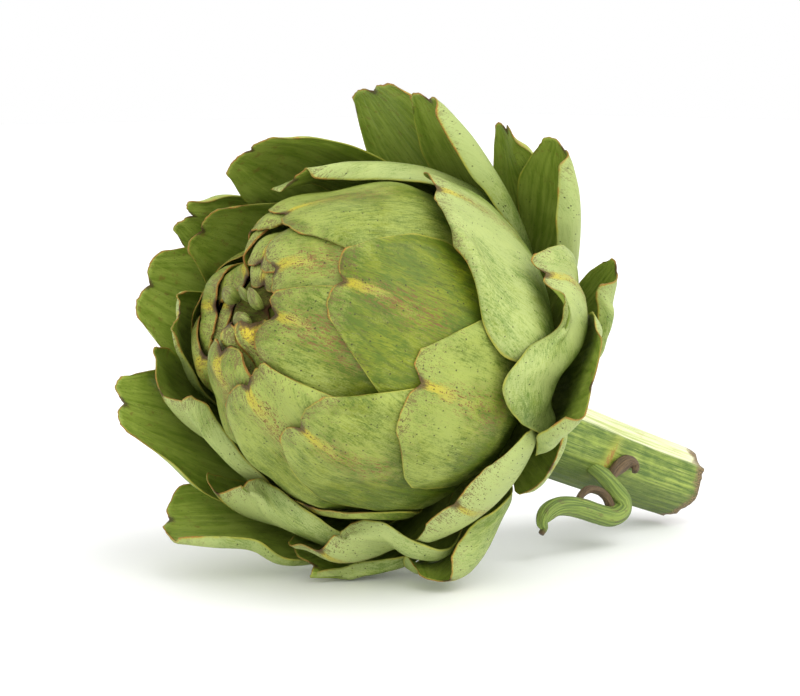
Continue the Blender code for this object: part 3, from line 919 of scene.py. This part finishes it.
def budLook():
    # yellow-green at the foot, brown at the point, with fine lines running up it
    look = Look("bud green")
    place = look.attribute("budPlace")
    up = look.split(place)[1]
    lines = look.noise(place, (3, 0.6, 1))
    blot = look.noise(place, (1.2, 2.4, 1), 3, 0.6)
    grains = look.noise(place, (7, 9, 1), 3, 0.7)
    colour = look.mix((lines * 1.4 - 0.3).rise(0.1, 0.8), (92, 110, 34), (150, 160, 76))
    stain = up * 0.45 + blot * 0.8 + grains * 1.6 - 1.5
    colour = look.mix(stain.rise(0, 0.22) * 0.75, colour, (88, 58, 34))
    return look.finish(colour, 0.5 + lines * 0.15, lines + blot * 0.6, 0.6, 0.0003)


def placeBuds(reach):
    # each bud stands on the reach map and is added to it
    green = budLook()
    for number, shape in buds.items():
        node = f"bud_{number}"
        points, around, up = budSurface(shape, reach)
        notes = {"budPlace": np.stack([around, up, 0 * up + number * 3.7], axis=-1)}
        mesh = tubeMesh(node + "_egg", toWorld(points), notes)
        newPiece(node + "_egg", mesh, green, node)
        addToMap(reach, points, 3)


# ---- the stem and its withered leaf

stem = {
    "path": (
        (-24, 16), (-26, 23), (-30, 28), (-34, 27), (-38, 23),
        (-42, 18.5), (-47, 14.8), (-54, 12.6), (-64, 11.4),
    ),
    "neckRadius": 12.2,
    "endRadius": 11.2,
    "length": 136.5,
    "lift": 1.6,
    "hang": 2.4,
    "ribs": 11,
    "ribDepth": 0.56,
    "ridgeTurn": 5.17,
    "ridgeHeight": 0.8,
    "ridgeWidth": 0.09,
    "scarTurn": 4.6,
    "scarAt": 92.0,
    "scarHeight": 0.9,
    "scarSlant": 4.0,
    "markScale": 11,
}


def stemSurface(shape):
    # a round section carried back along the axis, first sinking and then lifting by the square
    # of the way; its radius ripples round it in ribs, with one stronger ridge along it and a
    # slanting ring where a leaf sat, and its cut end is ragged
    z = np.array([place for place, _ in shape["path"]], float)
    radius = np.array([size for _, size in shape["path"]], float)
    t = np.linspace(0.04, 1, 60)
    taper = shape["neckRadius"] + (shape["endRadius"] - shape["neckRadius"]) * t
    rise = shape["lift"] * np.concatenate([np.zeros(len(z)), t * t])
    z = np.concatenate([z, z[-1] - (shape["length"] + z[-1]) * t])
    radius = np.concatenate([radius, taper])
    sink = rise - shape["hang"] * ease(-z, 30, 62)
    w = np.linspace(0, 2 * np.pi, 145)[:, None]
    share = w / (2 * np.pi)
    ribs = ripple(41, share, 5, shape["ribs"]) + 0.4 * ripple(42, share, 16, 30)
    size = radius + shape["ribDepth"] * ribs * ease(-z, 44, 66)
    ridge = np.exp(-((w - shape["ridgeTurn"]) / shape["ridgeWidth"]) ** 2)
    size = size + shape["ridgeHeight"] * ridge * ease(-z, 50, 70)
    fromScar = w - shape["scarTurn"]
    scar = np.exp(-((-z - shape["scarAt"] - shape["scarSlant"] * fromScar) / 1.6) ** 2)
    size = size + shape["scarHeight"] * scar * np.exp(-(fromScar / 0.55) ** 4)
    size = size + 0.7 * ripple(44, share, 9, 30) * ease(-z, shape["length"] - 5, shape["length"])
    ragged = 1.2 * ripple(43, share, 2, 14) + 0.8 * ripple(45, share, 15, 40)
    height = z + ragged * ease(-z, shape["length"] - 4, shape["length"])
    x = size * np.cos(w) + sink
    y = size * np.sin(w)
    return np.stack([x, y, height], axis=-1), w + 0 * z, z + 0 * w


def stemLook():
    # a pale band along the upper side that ends at the ridge, a painted highlight where the light falls
    # on top, over green with dark and yellow lines that darkens towards the underside as painted shade,
    # a yellow-green ring round the leaf scar and a brown rim at the cut
    look = Look("stem green")
    place = look.attribute("stemPlace")
    around, length, up = look.split(place)
    lines = look.noise(place, (1.1, 0.025, 0), 5, 0.6)
    fine = look.noise(place, (4, 0.1, 0), 3, 0.6)
    blot = look.noise(place, (0.3, 0.16, 0))
    grain = look.noise(place, (2.4, 1.6, 0))
    green = (lines * 1.5 + blot * 0.8 - 0.85).rise(0.05, 0.65)
    green = look.mix(green, (74, 102, 22), (152, 170, 70))
    green = look.mix(fine.rise(0.56, 0.68) * 0.5, green, (190, 196, 112))
    # painted shade: the green darkens towards the underside
    green = look.mix((0 - up).rise(0.2, 0.9) * 0.6, green, (70, 92, 26))
    # painted highlight: the upper side is made pale as if lit, with lengthwise lines, and brown blots
    # towards the cut end
    litCream = look.mix((lines + fine * 0.4 - 0.2).rise(0.36, 0.62), (184, 196, 118), (236, 236, 196))
    litCream = look.mix((blot.rise(0.56, 0.7) * length.rise(84, 130)) * 0.5, litCream, (196, 160, 112))
    # the share of the painted highlight, from the top down to the ridge
    light = (up + (lines - 0.5) * 0.3).rise(0.34, 0.47)
    colour = look.mix(light, green, litCream)
    fromScar = around - stem["scarTurn"] * stem["markScale"]
    scar = (length - stem["scarAt"] - fromScar * 0.36).hump(2.4) * fromScar.hump(7)
    colour = look.mix(scar.below(1) * 0.75, colour, (168, 172, 62))
    rust = (scar * 0.6 + grain - 0.5).rise(0.42, 0.6) * scar
    colour = look.mix(rust.below(1) * 0.8, colour, (150, 96, 44))
    cut = length + (blot - 0.5) * 7 + (grain - 0.5) * 4
    cut = cut.rise(stem["length"] - 3.9, stem["length"] - 0.9)
    bark = look.mix(grain.rise(0.4, 0.6), (74, 54, 34), (150, 124, 82))
    colour = look.mix(cut * 0.92, colour, bark)
    spots = (grain * 0.8 + blot * 0.6 - 0.7).rise(0.12, 0.2) * length.rise(96, 134)
    colour = look.mix(spots * 0.4, colour, (120, 92, 56))
    height = lines + fine * 0.4 + blot * 0.3 + cut * grain
    return look.finish(colour, 0.42 + lines * 0.2, height, 0.7, 0.0006)


def placeStem():
    # the stem in place of its CAD node
    points, around, z = stemSurface(stem)
    # up, how far each point faces the top, places the stem's painted highlight and painted shade
    up = points[..., 0] / np.hypot(points[..., 0], points[..., 1])
    place = np.stack([around * stem["markScale"], -z, up], axis=-1)
    mesh = tubeMesh("stem_stalk", toWorld(points)[:, ::-1], {"stemPlace": place[:, ::-1]})
    newPiece("stem_stalk", mesh, stemLook(), "stem")


stemLeaf = {
    "stalk": (
        (79, -9, 24, 2), (81, -12.6, 21, 2.6), (83.4, -14.1, 17.7, 2.9), (85.6, -15.6, 14, 3),
        (84.4, -16.6, 10.9, 3), (79.4, -17.1, 9.8, 3), (73.6, -17.1, 11.4, 3), (67.6, -17.1, 13.6, 3),
        (62, -17.1, 15.2, 2.9), (56.1, -17.1, 15.8, 2.8), (51.9, -17.1, 14.4, 2.6),
        (50.4, -17.1, 12.2, 2), (51.2, -17.1, 10.2, 1.2), (50, -17.1, 8.6, 0.9),
    ),
    "arch": (
        (66.8, -16.2, 14.6, 1.3), (67.8, -15.6, 17, 1.1), (71.3, -15.1, 18.6, 1.2),
        (75.6, -15.1, 18.1, 1.2), (79.5, -15.1, 15.5, 1.4), (81.2, -15.6, 12, 1.5),
    ),
    "curl": (
        (84.6, -14.1, 15.5, 1.2), (83, -13.8, 18.8, 1.3), (84.2, -13.4, 21.6, 1.6),
        (87.8, -12.9, 23.6, 2.2), (91.2, -13.2, 24.6, 2), (93.2, -14.1, 23.2, 1.5),
        (92.2, -14.9, 21.6, 1),
    ),
}


def smoothPath(corners, steps):
    # a Catmull-Rom curve through the corners, read at even steps
    corners = np.array(corners, float)
    held = np.vstack([2 * corners[0] - corners[1], corners, 2 * corners[-1] - corners[-2]])
    t = np.linspace(0, 1, steps, endpoint=False)[None, :, None]
    p0, p1, p2, p3 = held[:-3, None], held[1:-2, None], held[2:-1, None], held[3:, None]
    curve = 2 * p1 + (p2 - p0) * t + (2 * p0 - 5 * p1 + 4 * p2 - p3) * t * t
    curve = 0.5 * (curve + (3 * p1 - p0 - 3 * p2 + p3) * t ** 3)
    return np.vstack([curve.reshape(-1, corners.shape[1]), corners[-1:]])


def tubeAlong(path, section):
    # a section of (side, top) shares of the radius carried along a path, square to it
    place = path[:, :3]
    tangent = np.gradient(place, axis=0)
    tangent = tangent / np.linalg.norm(tangent, axis=-1, keepdims=True)
    side = np.cross(tangent, [0.0, 1.0, 0.0])
    side = side / np.linalg.norm(side, axis=-1, keepdims=True)
    other = np.cross(tangent, side)
    radius = path[:, 3]
    a = section[:, 0][:, None] * radius[None, :]
    b = section[:, 1][:, None] * radius[None, :]
    return place[None] + a[..., None] * side[None] + b[..., None] * other[None]


def stalkLook(name, fresh, dry):
    # green with pale lengthwise lines in the middle and dry brown towards its far end
    look = Look(name)
    place = look.attribute("stalkPlace")
    along = look.split(place)[1]
    lines = look.noise(place, (2.2, 0.1, 1))
    blot = look.noise(place, (0.6, 0.35, 1))
    colour = look.mix(lines.rise(0.38, 0.62), fresh[0], fresh[1])
    colour = look.mix((along + blot * 0.25).rise(dry[0], dry[1]), colour, (96, 76, 50))
    colour = look.mix((blot - 0.45).rise(0.1, 0.2) * 0.5, colour, (92, 70, 42))
    return look.finish(colour, 0.45 + lines * 0.25, lines + blot * 0.6, 0.8, 0.0007)


def placeStalk(label, groove, seed, look):
    # a tube along a path whose round section has a groove, and which shrivels along its way
    path = smoothPath(stemLeaf[label], 9)
    w = np.linspace(0, 2 * np.pi, 49)
    side = 1 - groove * np.exp(-(np.sin((w - 4.2) / 2) / 0.22) ** 2)
    section = np.stack([np.cos(w) * side, np.sin(w) * side], axis=-1)
    points = tubeAlong(path, section)
    t = np.linspace(0, 1, len(path)) + 0 * w[:, None]
    middle = points.mean(axis=0, keepdims=True)
    wrinkle = 1 + 0.10 * ripple(seed, w[:, None] / (2 * np.pi) + 0.5 * t, 3, 9)
    points = middle + (points - middle) * wrinkle[..., None]
    points[-1] = points[0]
    points = points + np.array([head["at"][0], head["at"][1], 0.0])
    notes = {"stalkPlace": np.stack([3 * w[:, None] + 0 * t, 40 * t, t], axis=-1)}
    mesh = tubeMesh("stem_leaf_" + label, points * mm, notes)
    newPiece("stem_leaf_" + label, mesh, look, "stem_leaf")


def placeStemLeaf():
    # a thick grooved stalk in an S with a dry tip, a thin withered arch and a curled brown flake
    green = ((84, 108, 36), (136, 156, 66))
    brown = ((74, 58, 36), (112, 90, 58))
    placeStalk("stalk", 0.35, 61, stalkLook("dry leaf green", green, (37.0, 40.0)))
    withered = stalkLook("dry leaf brown", brown, (60.0, 70.0))
    placeStalk("arch", 0.2, 62, withered)
    placeStalk("curl", 0.5, 63, withered)


# ---- build

placeStem()
placeStemLeaf()
print("stem and its leaf made")
reach = firstMap()
number = placeBracts(innerBracts, plainInner, closedRib, reach, 1)
placeBuds(reach)
number = placeBracts(closedBracts, plainClosed, closedRib, reach, number)
print("closed bracts made")
number = placeBracts(leaningBracts, plainLeaning, freeRib, reach, number)
placeBracts(openBracts, plainOpen, freeRib, reach, number)
print("leaning and open bracts made")


# ---- studio

def direction(azimuth, elevation):
    # the unit vector towards a place at that azimuth and elevation
    a = radians(azimuth)
    e = radians(elevation)
    return np.array([sin(a) * cos(e), -cos(a) * cos(e), sin(e)])


def turnedTo(place):
    # the rotation of something that looks from its azimuth and elevation at the middle
    return radians(90 - place["elevation"]), 0.0, radians(place["azimuth"])


def placeCamera():
    # the camera looks at the aim from the studio's azimuth and elevation
    back = direction(studio["azimuth"], studio["elevation"])
    made = bpy.data.cameras.new("camera")
    made.lens = studio["lens"]
    made.sensor_width = 36.0
    made.clip_start = 0.01
    camera = newObject("camera", made)
    camera.location = np.array(studio["aim"]) + studio["distance"] * back
    camera.rotation_euler = turnedTo(studio)
    bpy.context.scene.camera = camera


lamps = {
    "key": {"azimuth": 5, "elevation": 50, "spread": 50, "strength": 1.6},
    "front": {"azimuth": -60, "elevation": 20, "spread": 70, "strength": 0.9},
}


def placeLamp(name, lamp):
    # a distant lamp as wide in the sky as its spread, so that its shadows are soft
    made = bpy.data.lights.new(name, "SUN")
    made.angle = radians(lamp["spread"])
    made.energy = lamp["strength"]
    newObject(name, made).rotation_euler = turnedTo(lamp)


def placeFloor():
    # a wide pale square
    half = studio["floorHalf"]
    corners = [(-half, -half, 0.0), (half, -half, 0.0), (half, half, 0.0), (-half, half, 0.0)]
    mesh = newMesh("floor", np.array(corners), [(0, 1, 2, 3)], {})
    look = Look("pale floor")
    look.feed(look.shader.inputs["Base Color"], (*studio["floor"], 1.0))
    look.feed(look.shader.inputs["Roughness"], studio["floorRoughness"])
    mesh.materials.append(look.material)
    newObject("floor", mesh)


placeCamera()
placeFloor()
for name, lamp in lamps.items():
    placeLamp(name, lamp)
world = bpy.data.worlds.new("sky")
world.use_nodes = True
sky = world.node_tree.nodes["Background"]
sky.inputs["Color"].default_value = (1.0, 1.0, 1.0, 1.0)
sky.inputs["Strength"].default_value = studio["sky"]
bpy.context.scene.world = world
bpy.context.scene.view_settings.view_transform = "Standard"
print("studio made")
